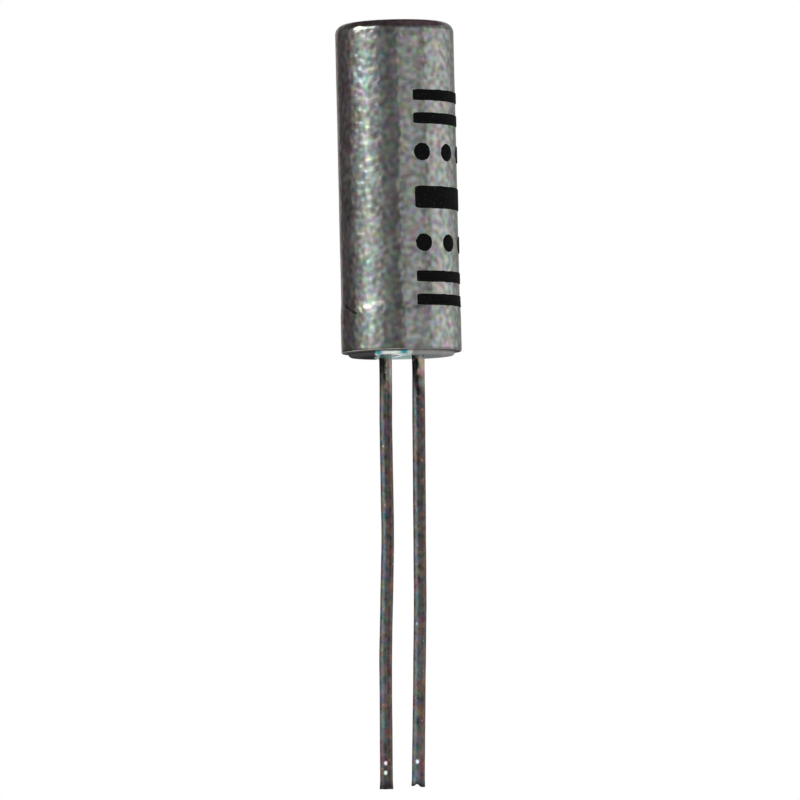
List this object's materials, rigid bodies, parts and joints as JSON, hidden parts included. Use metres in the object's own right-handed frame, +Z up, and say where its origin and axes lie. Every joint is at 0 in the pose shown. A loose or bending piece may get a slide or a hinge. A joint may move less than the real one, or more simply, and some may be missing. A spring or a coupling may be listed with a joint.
{
  "type": "crystal oscillator",
  "caption": "Tuning-fork quartz crystal in a round drawn metal can, closed by a glass-filled ring that carries a pair of long wire leads.",
  "frame": {"origin": "centre of the stem ring's lower face, which seats on the board when the part is pushed home", "axes": "+Z up the can's axis towards its closed head; both leads stand on the X axis where they leave the glass and run down towards -Z"},
  "size_m": [0.003, 0.003, 0.0191],
  "materials": {
    "can_metal": "satin",
    "plated_ring": "satin",
    "seal_glass": "gloss",
    "lead_wire": "satin",
    "quartz": "gloss",
    "solder": "satin",
    "ink": "matte"
  },
  "bodies": {
    "root": {"can": "can_metal", "stem_ring": "plated_ring", "glass_seal": "seal_glass", "lead_left": "lead_wire", "lead_right": "lead_wire", "tuning_fork": "quartz", "solder_joint_left": "solder", "solder_joint_right": "solder", "ink_marks": "ink"}
  },
  "joints": []
}
